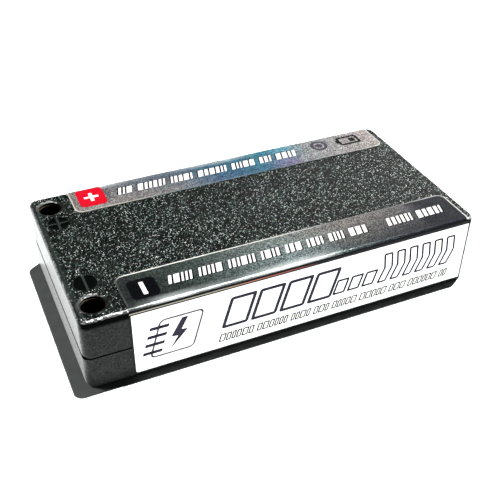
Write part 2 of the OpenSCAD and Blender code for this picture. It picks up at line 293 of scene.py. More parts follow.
# The flecks are left out near the socket end, which paints a dark shade along that edge.
END_SHADE_X = (SHELL_LOW.x + 0.8 * MM, SHELL_LOW.x + 1.7 * MM)
# The holes' mouths begin this far in from the long sides.
MOUTH_INWARDS = (1.0 * MM, 1.4 * MM)


def off_marks(g):
    """0 on the two polarity marks and 1 away from them."""
    along = g.math("SUBTRACT", g.axes[0], MARK_X)
    across = g.math("SUBTRACT", g.math("ABSOLUTE", g.axes[1]), MARK_Y)
    return g.band(g.length(along, across), MARK_R, MARK_R + 2 * FADE)


class CaseZones:
    """Masks over the case: 1 in a zone, 0 outside it."""

    def __init__(self, g):
        x, y, z = g.axes
        normal = g.add("NewGeometry").outputs["True Normal"]
        normal_x, normal_y, normal_z = g.add("SeparateXYZ", {}, {0: normal}).outputs
        level_face = g.band(normal_z, *LEVEL)
        self.sunk = g.times(level_face, g.band(z, *SUNK_Z))
        near_top = g.times(g.band(z, *NEAR_TOP_Z), g.flipped(self.sunk))
        self.raised = g.times(level_face, near_top)
        self.top = g.times(near_top, g.band(normal_z, *UPWARD))
        self.edge = g.times(self.top, g.band(normal_z, *ROUNDED))
        flecked = g.times(near_top, g.band(normal_z, *FLECKED))
        self.flecked = g.times(g.times(flecked, g.band(x, *END_SHADE_X)), off_marks(g))

        inwards = g.math("SUBTRACT", CASE_HALF_W, g.math("ABSOLUTE", y))
        self.mouth = g.band(inwards, *MOUTH_INWARDS)
        on_side = g.band(g.math("ABSOLUTE", normal_y), *SIDEWAYS)
        self.painted_shade = g.times(g.times(on_side, g.band(z, *PAINTED_SHADE_Z)), g.flipped(self.top))
        self.foot = g.band(z, *FOOT_SHADE_Z)

        off_seam = g.math("ABSOLUTE", g.math("SUBTRACT", z, SEAM_TOP_Z - SEAM_GAP / 2))
        on_end = g.band(g.math("ABSOLUTE", normal_x), *ENDWAYS)
        # On the ends the dark band reaches past the gap as a painted shadow
        gap_and_shadow_reach = g.math("ADD", SEAM_GAP / 2 + FADE, g.times(on_end, END_SEAM_SHADOW))
        self.seam = g.band(g.math("SUBTRACT", off_seam, gap_and_shadow_reach), FADE, 0.0)


def case_colour(g, zones, fine, level):
    """Grey flecks, the brightest of them painted glints, over dark hollows on top; near black on the
    sides and in the sunk marks; painted shade below the long top edges and by the seam on the ends.
    """
    grain = g.noise(0.14 * MM, 2.0, 0.65)
    hollow = g.ramp(grain, [(0.4, rgb(1, 2, 2)), (0.65, rgb(16, 21, 19))])
    # Flecks of the grain's own tone, the brightest of them painted glints
    fleck = g.band(g.cells(FLECK_SIZE), FLECK_RIM, FLECK_CORE)
    grain_and_glints = g.mix(fleck, hollow, g.ramp(level, FLECK_AND_GLINT_STOPS))
    side = g.ramp(fine, [(0.3, rgb(7, 11, 10)), (0.7, rgb(15, 21, 19))])
    cloud = g.ramp(g.noise(14 * MM, 2.0, 0.5), [(0.3, grey(232)), (0.7, grey(255))])
    colour = g.mix(zones.raised, side, rgb(44, 51, 48))
    colour = g.mix(zones.flecked, colour, grain_and_glints)
    colour = g.mix(zones.sunk, colour, rgb(6, 8, 8))
    colour = g.mix(1.0, colour, cloud, "MULTIPLY")
    # Painted shade: a near black band below the rounded top edge on the long sides
    colour = g.mix(zones.painted_shade, colour, rgb(2, 3, 3))
    # The seam's gap is a dark joint; on the ends a painted shadow widens it
    return g.mix(zones.seam, colour, rgb(4, 4, 4))


def case_shine(g, zones):
    """Strongest along the rounded edge, none in the seam, the marks and the foot; cut at the foot
    and below the long top edges to paint shade there.
    """
    edge_shine = g.lerp(zones.mouth, EDGE_SHINE, MOUTH_SHINE)
    shine = g.lerp(zones.flecked, SIDE_SHINE, TOP_SHINE)
    shine = g.lerp(zones.edge, shine, edge_shine)
    shine = g.times(shine, g.flipped(g.math("MAXIMUM", zones.seam, zones.sunk)))
    shine = g.times(shine, g.spread(g.noise(0.4 * MM, 2.0, 0.6), LEAST_SHINE, MOST_SHINE))
    # Cutting the shine at the foot and in the painted shade band darkens them as painted shade
    dulled = g.math("MAXIMUM", zones.foot, g.times(zones.painted_shade, 0.95))
    return g.times(shine, g.flipped(dulled))


def case_plastic():
    """Dark grey moulding: sparkling grain on top, satin sides, black where it is sunk."""
    g = Graph("case_plastic")
    zones = CaseZones(g)
    fine = g.noise(0.12 * MM, 2.0, 0.6)
    level = g.cell_level(FLECK_SIZE)
    rough = g.lerp(zones.top, g.spread(fine, 0.24, 0.36), g.spread(level, 0.24, 0.16))
    rough = g.lerp(zones.edge, rough, 0.3)
    slope = g.lerp(zones.edge, g.lerp(zones.top, SIDE_TILT, GRAIN_TILT), EDGE_TILT)
    sparkling = g.facets(FLECK_SIZE, slope, g.bump(fine, 0.006 * MM, 0.6))
    return g.finish(Base_Color=case_colour(g, zones, fine, level), Roughness=rough,
                    Normal=sparkling, Specular_IOR_Level=case_shine(g, zones))


# ---------------------------------------------------------------- labels

FOIL_METAL = 0.4
FOIL_FLECK = 0.2 * MM
FOIL_GRIT = 0.22 * MM
# How far the grit of the foil tips the surface, as a slope
FOIL_TILT = 0.08
# How much the foil's colours wander along the strip, as a share of its length
FOIL_WANDER = 0.12
# The painted highlight along the cut edge has faded out at the first of these distances inside the
# strip's outline, and is full at the second.
CUT_EDGE_HIGHLIGHT = (0.36 * MM, 0.2 * MM)
# The painted sheen along the fold grows to full strength between these distances from the middle.
SHEEN_Y = (CASE_HALF_W - 2.4 * MM, CASE_HALF_W - 0.6 * MM)
# Colour of the lines above the white panel and down its first edge
LINE_COLOUR = rgb(10, 10, 13)

# How far from the middle of the case the foil strips begin
FRONT_INNER = -FRONT_HIGH.y
BACK_INNER = BACK_LOW.y

# The stops of these run from the socket end of a strip, at 0, to its far end, at 1.
# Colours of the foil, near the inner edge of the strip and far from it: the rainbow print with
# painted reflections of the room along the strip
FRONT_NEAR = [(0.00, rgb(50, 56, 54)), (0.20, rgb(80, 92, 87)), (0.45, rgb(146, 154, 149)),
              (0.65, rgb(152, 143, 137)), (0.86, rgb(114, 110, 112)), (0.89, rgb(24, 28, 38))]
FRONT_FAR = [(0.00, rgb(46, 52, 50)), (0.20, rgb(58, 66, 63)), (0.48, rgb(146, 164, 164)),
             (0.60, rgb(80, 92, 92)), (0.72, rgb(50, 56, 60)), (0.88, rgb(18, 21, 30))]
BACK_NEAR = [(0.00, rgb(182, 172, 165)), (0.30, rgb(172, 167, 164)), (0.44, rgb(94, 120, 152)),
             (0.60, rgb(80, 130, 156)), (0.68, rgb(160, 136, 178)), (0.74, rgb(164, 164, 166)),
             (0.95, rgb(184, 174, 170))]
BACK_FAR = [(0.00, rgb(146, 140, 136)), (0.26, rgb(88, 106, 134)), (0.45, rgb(60, 126, 150)),
            (0.60, rgb(66, 148, 172)), (0.70, rgb(96, 174, 190)), (0.76, rgb(180, 184, 184)),
            (0.95, rgb(198, 190, 186))]
# Strength of the painted sheen along the fold
SHEEN_STOPS = [(0.00, grey(30)), (0.05, grey(120)), (0.10, grey(255)), (0.18, grey(180)),
               (0.28, grey(110)), (0.40, grey(235)), (0.48, grey(255)), (0.60, grey(0))]
# Colours of the painted highlight along the cut edge, and of the trim below the fold
FRONT_EDGE_HIGHLIGHT = [(0.00, grey(24)), (0.03, rgb(250, 249, 242)), (0.45, rgb(226, 224, 216)),
                  (0.62, grey(120)), (0.85, grey(110)), (0.95, grey(185)), (1.00, grey(205))]
BACK_EDGE_HIGHLIGHT = [(0.00, rgb(196, 190, 182)), (0.12, rgb(190, 184, 176)), (0.30, rgb(120, 134, 144)),
                 (0.60, rgb(92, 116, 130)), (0.80, rgb(150, 146, 146)), (1.00, rgb(206, 202, 196))]
TRIM_STOPS = [(0.00, rgb(150, 144, 132)), (0.24, rgb(150, 140, 124)), (0.32, rgb(156, 98, 82)),
              (0.46, rgb(124, 60, 52)), (0.52, rgb(12, 12, 16)), (1.00, rgb(12, 13, 18))]


def border_distance(g, outward, inner_edge, start_x):
    """How far inside the outline of the foil strip a point lies, corners included."""
    x = g.axes[0]
    past_end = g.math("ADD", x, STRIP_CORNER_R - STRIP_END_X)
    past_start = g.math("SUBTRACT", start_x + STRIP_CORNER_R, x)
    past_inner = g.math("SUBTRACT", inner_edge + STRIP_CORNER_R, outward)
    along = g.math("MAXIMUM", g.math("MAXIMUM", past_end, past_start), 0.0)
    across = g.math("MAXIMUM", past_inner, 0.0)
    return g.math("SUBTRACT", STRIP_CORNER_R, g.length(along, across))


def foil_tone(g, inner_edge, outward, near_stops, far_stops):
    """Rainbow foil with painted reflections along the strip: the near stops lie along the inner
    edge, the far ones along the case's edge.
    """
    across = g.band(outward, inner_edge, CASE_HALF_W)
    wave = g.times(g.math("SUBTRACT", g.noise(7 * MM, 4.0, 0.65), 0.5), FOIL_WANDER)
    wavy = g.math("ADD", g.band(g.axes[0], FRONT_LOW.x, STRIP_END_X), wave)
    foil = g.mix(across, g.ramp(wavy, near_stops), g.ramp(wavy, far_stops))
    blotches = g.noise(2.2 * MM, 4.0, 0.7)
    tint = g.ramp(blotches, [(0.25, rgb(120, 96, 124)), (0.75, rgb(124, 156, 140))])
    foil = g.mix(0.35, foil, tint, "OVERLAY")
    # Grain of the foil with painted glints: pale and dark specks laid over the colour
    level = g.cell_level(FOIL_FLECK)
    flecks = g.ramp(level, [(0.0, grey(10)), (0.5, grey(120)), (1.0, grey(245))])
    return g.mix(0.85, foil, flecks, "OVERLAY")


def fold_sheen(g, outward, along):
    """A pale, patchy painted sheen along the fold, strongest near the sockets."""
    patches = g.spread(g.noise(2.5 * MM, 3.0, 0.6), 0.3, 1.2)
    sheen = g.times(g.band(outward, *SHEEN_Y), g.ramp(along, SHEEN_STOPS))
    return g.math("MULTIPLY", sheen, patches, clamp=True)


def trim_colour(g, along):
    """Below the fold: a dark line, a coloured trim and another dark line."""
    z = g.axes[2]
    trim = g.mix(g.band(z, TRIM_TOP_Z + FADE, TRIM_TOP_Z), LINE_COLOUR, g.ramp(along, TRIM_STOPS))
    line_top_z = PANEL_TOP_Z + PANEL_LINE
    return g.mix(g.band(z, line_top_z, line_top_z - FADE), trim, LINE_COLOUR)


def panel_colour(g, start_x):
    """White vinyl with a dark line down its first edge."""
    paper = g.ramp(g.noise(0.8 * MM, 3.0, 0.6), [(0.2, rgb(246, 246, 244)), (0.8, grey(252))])
    end_line = g.band(g.axes[0], start_x + EDGE_LINE, start_x + EDGE_LINE - FADE)
    return g.mix(end_line, paper, LINE_COLOUR)


def label_film(name, inner_edge, near_stops, far_stops, highlight_stops, start_x, side):
    """Printed film: rainbow foil on the top face and the fold, white vinyl on the side panel.

    side is -1 for the front label and 1 for the back one.
    """
    g = Graph(name)
    x, y, z = g.axes
    outward = g.times(y, side)
    along = g.band(x, FRONT_LOW.x, STRIP_END_X)
    edge_highlight = g.band(border_distance(g, outward, inner_edge, start_x), *CUT_EDGE_HIGHLIGHT)
    below_fold = g.band(z, FOLD_LINE_Z + FADE, FOLD_LINE_Z)
    panel = g.band(z, PANEL_TOP_Z, PANEL_TOP_Z - FADE)

    foil = foil_tone(g, inner_edge, outward, near_stops, far_stops)
    # Painted sheen along the fold
    foil = g.mix(fold_sheen(g, outward, along), foil, rgb(216, 222, 220))
    # Painted highlight along the strip's cut edge
    foil = g.mix(g.times(edge_highlight, 0.9), foil, g.ramp(along, highlight_stops))
    colour = g.mix(below_fold, foil, trim_colour(g, along))
    colour = g.mix(panel, colour, panel_colour(g, start_x))

    foil_only = g.flipped(g.math("MAXIMUM", below_fold, edge_highlight))
    glint = g.noise(0.2 * MM, 2.0, 0.7)
    rough = g.lerp(below_fold, g.spread(glint, 0.22, 0.4), 0.34)
    ripple = g.bump(g.noise(1.6 * MM, 2.0, 0.5), 0.02 * MM, 0.5)
    gritty = g.facets(FOIL_GRIT, g.times(foil_only, FOIL_TILT), ripple)
    return g.finish(Base_Color=colour, Metallic=g.times(foil_only, FOIL_METAL),
                    Roughness=rough, Normal=gritty,
                    Specular_IOR_Level=g.lerp(below_fold, 0.15, 0.05))


def ink(name, colour):
    """Screen-printed ink with a slightly uneven film."""
    g = Graph(name)
    mottle = g.noise(0.6 * MM, 3.0, 0.6)
    uneven = g.mix(0.25, colour, g.ramp(mottle, [(0.3, grey(100)), (0.7, grey(160))]), "OVERLAY")
    rough = g.spread(mottle, 0.22, 0.38)
    return g.finish(Base_Color=uneven, Roughness=rough, Specular_IOR_Level=0.05,
                    Normal=g.bump(mottle, 0.006 * MM, 0.5))


# ---------------------------------------------------------------- inside materials

# The painted shade in a socket's bore thickens between these heights.
BORE_SHADE_Z = (SOCKET_TOP_Z - 0.05 * MM, SOCKET_TOP_Z - 0.25 * MM)


def gold_plate():
    """Turned and gold-plated brass, with painted shade darkening the bore below its rim."""
    g = Graph("gold_plate")
    rings = g.noise(1.0, 2.0, 0.5, g.stretch((300, 300, 9000)))
    tarnish = g.noise(1.8 * MM, 3.0, 0.6)
    colour = g.ramp(tarnish, [(0.3, rgb(60, 53, 42)), (0.55, rgb(86, 77, 60)),
                              (0.8, rgb(114, 104, 82))])
    bore_shade = g.band(g.axes[2], *BORE_SHADE_Z)
    colour = g.mix(bore_shade, colour, rgb(14, 13, 14))
    rough = g.lerp(bore_shade, g.spread(tarnish, 0.34, 0.16), 0.6)
    return g.finish(Base_Color=colour, Metallic=1.0, Roughness=rough,
                    Normal=g.bump(rings, 0.01 * MM, 0.5))


def metal(name, dark, light, grain, roughness):
    """Rolled or plated metal with a fine grain along the given stretch and cloudy oxide."""
    g = Graph(name)
    lines = g.noise(1.0, 3.0, 0.6, g.stretch(grain))
    cloud = g.noise(2.5 * MM, 3.0, 0.6)
    colour = g.ramp(cloud, [(0.3, dark), (0.7, light)])
    colour = g.mix(0.3, colour, g.ramp(lines, [(0.3, grey(90)), (0.7, grey(190))]), "OVERLAY")
    rough = g.spread(cloud, roughness + 0.12, roughness - 0.08)
    return g.finish(Base_Color=colour, Metallic=1.0, Roughness=rough,
                    Normal=g.bump(lines, 0.01 * MM, 0.4))


def circuit_board():
    """Green solder mask with fine tracks under it, over a woven laminate."""
    g = Graph("circuit_board")
    weave = g.add("TexWave", {"bands_direction": "DIAGONAL"}, {
        "Vector": g.coords, "Scale": 900.0, "Distortion": 1.0}).outputs["Fac"]
    tracks = g.cells(2.2 * MM, "DISTANCE_TO_EDGE")
    track_mask = g.band(tracks, 0.10, 0.14)
    colour = g.mix(track_mask, rgb(42, 120, 72), rgb(14, 74, 42))
    colour = g.mix(0.12, colour, g.ramp(weave, [(0.3, grey(60)), (0.7, grey(200))]), "OVERLAY")
    height = g.math("ADD", g.times(weave, 0.2), g.flipped(track_mask))
    return g.finish(Base_Color=colour, Roughness=0.32, Normal=g.bump(height, 0.03 * MM, 0.5),
                    Coat_Weight=0.4, Coat_Roughness=0.2)


def fibre_sheet(name, dark, light, fibre, roughness=0.75):
    """Paper or tissue: matted fibres in two tones."""
    g = Graph(name)
    fibres = g.noise(1.0, 4.0, 0.7, g.stretch((900, 2600, 900)))
    mat = g.noise(fibre, 4.0, 0.7)
    colour = g.mix(0.5, g.ramp(fibres, [(0.3, dark), (0.7, light)]),
                   g.ramp(mat, [(0.3, dark), (0.7, light)]))
    return g.finish(Base_Color=colour, Roughness=roughness, Normal=g.bump(mat, 0.03 * MM, 0.7))


def pouch_film():
    """Aluminium laminate: satin nylon face with soft creases and a cross-hatched press mark."""
    g = Graph("pouch_film")
    crease = g.noise(7 * MM, 5.0, 0.65)
    hatch = g.add("TexChecker", {}, {"Vector": g.coords, "Scale": 1400.0}).outputs["Fac"]
    colour = g.ramp(crease, [(0.3, rgb(168, 171, 176)), (0.7, rgb(206, 208, 212))])
    rough = g.spread(crease, 0.42, 0.26)
    height = g.math("ADD", crease, g.times(hatch, 0.03))
    return g.finish(Base_Color=colour, Metallic=0.85, Roughness=rough,
                    Normal=g.bump(height, 0.12 * MM, 0.7))


def electrode_stack():
    """Pressed electrode foils: thin dark layers with copper and separator edges between them."""
    g = Graph("electrode_stack")
    layers = g.add("TexWave", {"bands_direction": "Z"}, {
        "Vector": g.coords, "Scale": 1100.0, "Distortion": 0.4}).outputs["Fac"]
    colour = g.ramp(layers, [(0.0, rgb(28, 28, 30)), (0.6, rgb(52, 50, 50)),
                             (0.8, rgb(170, 168, 160)), (0.95, rgb(150, 96, 66))])
    powder = g.noise(0.1 * MM, 3.0, 0.7)
    return g.finish(Base_Color=colour, Roughness=0.85,
                    Normal=g.bump(g.math("ADD", layers, powder), 0.02 * MM, 0.6))


def foam():
    """Closed-cell foam with open cut cells."""
    g = Graph("foam")
    pores = g.cells(0.35 * MM)
    colour = g.ramp(pores, [(0.1, rgb(24, 25, 27)), (0.7, rgb(62, 64, 66))])
    return g.finish(Base_Color=colour, Roughness=0.92, Normal=g.bump(pores, 0.12 * MM, 0.9))


plastic = case_plastic()
gold = gold_plate()
copper = metal("copper", rgb(150, 84, 58), rgb(206, 132, 98), (300, 4000, 300), 0.32)
solder = metal("solder", rgb(150, 152, 156), rgb(206, 208, 212), (900, 900, 900), 0.28)
aluminium_tab = metal("aluminium_tab", rgb(186, 188, 192), rgb(222, 224, 227), (400, 6000, 400), 0.3)
nickel_tab = metal("nickel_tab", rgb(160, 156, 146), rgb(202, 198, 186), (400, 6000, 400), 0.28)
board = circuit_board()
fish_paper = fibre_sheet("fish_paper", rgb(170, 160, 128), rgb(206, 197, 166), 0.5 * MM)
tape = fibre_sheet("adhesive_tape", rgb(214, 210, 198), rgb(240, 238, 230), 0.9 * MM, 0.6)
pouch = pouch_film()
electrode = electrode_stack()
padding = foam()

NODE_MATERIALS = {
    "upper_shell": plastic,
    "lower_shell": plastic,
    "front_label": label_film("front_label_film", FRONT_INNER, FRONT_NEAR, FRONT_FAR,
                              FRONT_EDGE_HIGHLIGHT, FRONT_LOW.x, side=-1),
    "back_label": label_film("back_label_film", BACK_INNER, BACK_NEAR, BACK_FAR,
                             BACK_EDGE_HIGHLIGHT, BACK_LOW.x, side=1),
    "positive_socket": gold,
    "negative_socket": gold,
    "positive_busbar": copper,
    "negative_busbar": copper,
    "positive_solder": solder,
    "negative_solder": solder,
    "terminal_board": board,
    "tab_insulator": fish_paper,
    "upper_pouch": pouch,
    "lower_pouch": pouch,
    "upper_electrodes": electrode,
    "lower_electrodes": electrode,
    "upper_positive_tab": aluminium_tab,
    "lower_positive_tab": aluminium_tab,
    "upper_negative_tab": nickel_tab,
    "lower_negative_tab": nickel_tab,
    "cell_tape": tape,
    "floor_tape": tape,
    "top_pad": padding,
    "end_pad": padding,
}
for node_name, material in NODE_MATERIALS.items():
    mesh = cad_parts[node_name].data
    mesh.materials.clear()
    mesh.materials.append(material)


# ---------------------------------------------------------------- flat print shapes

# A mitre is cut short where 1 plus the cosine of the corner's turn is less than this.
LEAST_MITRE = 0.35
# A rounded corner takes up no more than this share of the sides next to it.
CORNER_SHARE = 0.45
# The smallest inner corner of a line, in millimetres
LEAST_CORNER = 0.05


def slanted(x, y, w, h, lean):
    """An upright block whose top is pushed `lean` to the right."""
    return [(x, y), (x + w, y), (x + w + lean, y + h), (x + lean, y + h)]


def block(cx, cy, w, h):
    """A rectangle about its centre."""
    return slanted(cx - w / 2, cy - h / 2, w, h, 0)


def shifted(points, dx, dy):
    """The points moved by dx and dy."""
    return [(x + dx, y + dy) for x, y in points]


def grown(points, by):
    """The outline moved outwards by a distance, with mitred corners. Points run anticlockwise."""
    moved = []
    for i, (x, y) in enumerate(points):
        here = Vector((x, y))
        into = (here - Vector(points[i - 1])).normalized()
        away = (Vector(points[(i + 1) % len(points)]) - here).normalized()
        normals = Vector((into.y + away.y, -into.x - away.x))
        mitre = normals / max(LEAST_MITRE, 1 + into.dot(away))
        moved.append((x + mitre.x * by, y + mitre.y * by))
    return moved


def softened(points, radius, steps=5):
    """The outline with each corner replaced by a short curve."""
    out = []
    for i, corner in enumerate(points):
        c = Vector(corner)
        a = Vector(points[i - 1]) - c
        b = Vector(points[(i + 1) % len(points)]) - c
        reach = min(radius, CORNER_SHARE * a.length, CORNER_SHARE * b.length)
        start, end = c + a.normalized() * reach, c + b.normalized() * reach
        for k in range(steps + 1):
            t = k / steps
            p = start * (1 - t) ** 2 + c * 2 * t * (1 - t) + end * t ** 2
            out.append((p.x, p.y))
    return out


def ring_of(points, width, radius):
    """The outer and inner outline of a line of the given width drawn along the points."""
    outer = softened(grown(points, width / 2), radius + width / 2)
    inner = softened(grown(points, -width / 2), max(radius - width / 2, LEAST_CORNER))
    return outer, inner


def circle(cx, cy, radius, count=40):
    """A round outline with this many points."""
    turn = 2 * math.pi / count
    return [(cx + radius * math.cos(turn * k), cy + radius * math.sin(turn * k))
            for k in range(count)]


class Sheet:
    """A flat face of a label. u runs to the right as the face is read, and v upwards."""

    def __init__(self, origin, u, v):
        self.origin, self.u, self.v = Vector(origin), Vector(u), Vector(v)
        self.normal = self.u.cross(self.v)

    def point(self, u, v, height):
        """A point of the sheet, all in millimetres."""
        return self.origin / MM + self.u * u + self.v * v + self.normal * height


def wall(bm, low, high):
    """Side faces between two loops of the same length."""
    count = len(low)
    for k in range(count):
        n = (k + 1) % count
        bm.faces.new((low[k], low[n], high[n], high[k]))


def print_piece(name, sheet, shapes, material, layer=1):
    """One piece made of flat ink shapes. A shape is an outline, or an (outer, inner) pair.

    Each shape is a closed solid sunk a little into the film. Higher layers lie on lower ones.
    """
    bm = bmesh.new()
    low = -0.5 * INK_MM
    high = layer * INK_MM

    def loop(points, height):
        return [bm.verts.new(sheet.point(u, v, height)) for u, v in points]

    for shape in shapes:
        if isinstance(shape, tuple):
            outer, inner = shape
            loops = [loop(outer, low), loop(outer, high), loop(inner, high), loop(inner, low)]
            for k, lower in enumerate(loops):
                wall(bm, lower, loops[(k + 1) % len(loops)])
        else:
            foot, top = loop(shape, low), loop(shape, high)
            wall(bm, foot, top)
            bm.faces.new(top)
            bm.faces.new(list(reversed(foot)))
    bm.normal_update()
    bmesh.ops.triangulate(bm, faces=[f for f in bm.faces if len(f.verts) > 4])
    bm.transform(Matrix.Scale(MM, 4))
    mesh = bpy.data.meshes.new(name)
    bm.to_mesh(mesh)
    bm.free()
    mesh.materials.append(material)
    piece = bpy.data.objects.new(name, mesh)
    bpy.context.scene.collection.objects.link(piece)
    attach(piece, "root")
    return piece


# ---------------------------------------------------------------- print artwork

dark_ink = ink("dark_ink", rgb(34, 29, 44))
black_ink = ink("black_ink", rgb(5, 6, 9))
red_ink = ink("red_ink", rgb(204, 14, 36))
white_ink = ink("white_ink", rgb(250, 250, 248))
cream_ink = ink("cream_ink", rgb(240, 241, 230))
pale_ink = ink("pale_ink", rgb(244, 238, 238))
grey_ink = ink("grey_ink", rgb(74, 68, 80))

front_top = Sheet((0, 0, LABEL_TOP_Z), (1, 0, 0), (0, 1, 0))
back_top = Sheet((0, 0, LABEL_TOP_Z), (-1, 0, 0), (0, -1, 0))
front_side = Sheet((0, FRONT_LOW.y, 0), (1, 0, 0), (0, 0, 1))
back_side = Sheet((0, BACK_HIGH.y, 0), (-1, 0, 0), (0, 0, 1))

# On the sheets, in millimetres: the socket ends of the labels, the far end of the back one, which
# is its left, and the case's long edge, which is below each strip
FRONT_START = FRONT_LOW.x / MM
BACK_START = -BACK_LOW.x / MM
BACK_END = -STRIP_END_X / MM
EDGE_V = -CASE_HALF_W / MM

# Sideways lean of a tick, as a share of its height
TICK_LEAN = 0.28
# Sizes and outlines of the prints, in millimetres on their sheet
BADGE_CORNER = 1.3
SIGN_CORNER = 0.15
STRIP_TICK_H = 2.8
STRIP_TICK_WIDTHS = (0.5, 0.7, 0.9, 1.3)
STRIP_TICK_CORNER = 0.15
SHADOW_SHIFT = (0.24, -0.2)
PANEL_TICK_WIDTHS = (0.6, 0.8, 1.1)
SOLID_CORNER = 0.2
BOLT = [(-1.9, -4.0), (2.4, 0.7), (1.0, 0.9), (2.6, 4.0), (1.2, 4.0), (-1.3, -0.4), (0.2, -0.6)]
CHEVRON = [(0.0, 0.0), (1.9, 0.0), (3.4, 3.8), (3.0, 7.6), (1.1, 7.6), (1.5, 3.8)]


def badge(name, sheet, centre, width, height, field, sign):
    """A square polarity badge with a white sign on it."""
    square = softened(block(*centre, width, height), BADGE_CORNER)
    print_piece(name + "_field", sheet, [square], field)
    print_piece(name + "_sign", sheet, [softened(shifted(sign, *centre), SIGN_CORNER)], white_ink, 2)


def minus_sign(length, width):
    """The outline of a minus that runs across the strip."""
    return block(0, 0, width, length)


def plus_sign(length, width):
    """The outline of a plus: the same three corners at the end of each of its four arms."""
    corners = []
    for quarter in range(4):
        turn = Matrix.Rotation(quarter * math.pi / 2, 2)
        for x, y in ((length, -width), (length, width), (width, width)):
            corner = turn @ Vector((x / 2, y / 2))
            corners.append((corner.x, corner.y))
    return corners


def tick_row(rng, start, end, y, height, gap, group_gap, widths):
    """Slanted ticks of changing width, in groups, from start to end."""
    lean = height * TICK_LEAN
    ticks = []
    x = start
    left_in_group = rng.randint(3, 6)
    while True:
        width = rng.choice(widths)
        if x + width > end - lean:
            return ticks
        ticks.append(slanted(x, y, width, height, lean))
        x += width + gap
        left_in_group -= 1
        if left_in_group == 0:
            x += group_gap
            left_in_group = rng.randint(3, 6)


def strip_ticks(name, sheet, rng, runs, y):
    """White ticks with a dark drop shadow, as printed on the foil. A run is a start and an end."""
    ticks = []
    for start, end in runs:
        ticks += tick_row(rng, start, end, y, STRIP_TICK_H, gap=0.42, group_gap=1.1,
                          widths=STRIP_TICK_WIDTHS)
    ticks = [softened(tick, STRIP_TICK_CORNER) for tick in ticks]
    shadows = [shifted(tick, *SHADOW_SHIFT) for tick in ticks]
    print_piece(name + "_shadows", sheet, shadows, black_ink, 1)
    print_piece(name + "_ticks", sheet, ticks, white_ink, 2)


class Outlined:
    """Filled shapes with a line along their outline, gathered into two lists."""

    def __init__(self):
        self.fills = []
        self.lines = []

    def add(self, points, line, corner):
        self.fills.append(softened(points, corner))
        self.lines.append(ring_of(points, line, corner))


def slanted_row(count, start, step, y, width, height, lean):
    """Equal slanted blocks side by side."""
    return [slanted(start + step * i, y, width, height, lean) for i in range(count)]


def speed_lines(left):
    """Short bars in a slanting pile."""
    return [slanted(left + 0.6 * i, 4.9 + 2.1 * i, w=4.2, h=0.8, lean=0.2) for i in range(4)]


def side_panel(name, sheet, rng, left):
    """The artwork of a white side panel, from its left end: bolt, gauge, chevrons and ticks."""
    emblem, gauge, chevrons = Outlined(), Outlined(), Outlined()

    # A lightning bolt in a slanted frame, with speed lines on its left
    bolt = shifted(BOLT, left + 9.6, 8.6)
    emblem.add(slanted(left + 3.6, 3.9, w=9.4, h=9.4, lean=2.6), line=0.4, corner=1.2)
    solids = [softened(points, SOLID_CORNER) for points in [bolt] + speed_lines(left + 1.9)]

    # A charge gauge of four big and three small blocks, then chevrons, with ticks below them all
    for points in slanted_row(4, left + 19.9, 6.75, y=6.6, width=5.3, height=7.2, lean=2.1):
        gauge.add(points, line=0.78, corner=0.3)
    for points in slanted_row(3, left + 46.4, 3.7, y=6.8, width=2.6, height=3.5, lean=1.0):
        gauge.add(points, line=0.52, corner=0.15)
    for i in range(6):
        chevrons.add(shifted(CHEVRON, left + 57.9 + 3.35 * i, 6.5), line=0.5, corner=0.3)
    for points in tick_row(rng, left + 18.9, left + 77.6, y=2.75, height=1.8, gap=0.5,
                           group_gap=0.7, widths=PANEL_TICK_WIDTHS):
        gauge.add(points, line=0.3, corner=0.1)

    print_piece(name + "_fills", sheet, gauge.fills, cream_ink, 1)
    print_piece(name + "_pale_fills", sheet, emblem.fills + chevrons.fills, pale_ink, 1)
    print_piece(name + "_outlines", sheet, gauge.lines + chevrons.lines, dark_ink, 2)
    print_piece(name + "_grey_outlines", sheet, emblem.lines, grey_ink, 2)
    print_piece(name + "_solids", sheet, solids, dark_ink, 2)


def back_emblems(sheet):
    """A grey ring with a dot in it and a plain battery icon at the end of the back strip."""
    ring_x, ring_y = BACK_START - 65.9, EDGE_V + 3.9
    ring = (circle(ring_x, ring_y, 2.3), circle(ring_x, ring_y, 1.5))
    print_piece("back_disc", sheet, [ring], grey_ink)
    print_piece("back_disc_core", sheet, [circle(ring_x, ring_y, 0.9)], grey_ink)

    battery_x, battery_y = ring_x - 8.6, EDGE_V + 4.2
    body = ring_of(block(battery_x, battery_y, 5.4, 3.4), 0.7, 0.5)
    pole = softened(block(battery_x + 3.3, battery_y, 0.7, 1.5), 0.1)
    charge = softened(block(battery_x - 1.1, battery_y, 1.6, 1.9), 0.1)
    print_piece("back_battery_icon", sheet, [body, pole, charge], black_ink)


rng = random.Random(RNG_SEED)
badge("minus_badge", front_top, (FRONT_START + 4.8, EDGE_V + 5.6), width=6.0, height=6.2,
      field=black_ink, sign=minus_sign(4.1, 0.95))
badge("plus_badge", back_top, (BACK_START - 4.85, EDGE_V + 4.5), width=6.4, height=7.5,
      field=red_ink, sign=plus_sign(3.5, 0.85))
front_runs = [(FRONT_START + 9.9, FRONT_START + 59.1), (FRONT_START + 62.4, FRONT_START + 77.9)]
back_runs = [(BACK_START - 59.0, BACK_START - 9.6)]
strip_ticks("front_strip", front_top, rng, front_runs, y=EDGE_V + 4.55)
strip_ticks("back_strip", back_top, rng, back_runs, y=EDGE_V + 3.3)
back_emblems(back_top)
side_panel("front_panel", front_side, rng, left=FRONT_START)
side_panel("back_panel", back_side, rng, left=BACK_END + 0.5)


# ---------------------------------------------------------------- floor, light and camera

FLOOR_SIZE = 2.0
# Where the lights come from: a high key light, and a low fill light behind the object on its left
SUN_FROM = Vector((3.2, 2.05, 17.5))
FILL_FROM = Vector((-3.0, 2.5, 2.5))
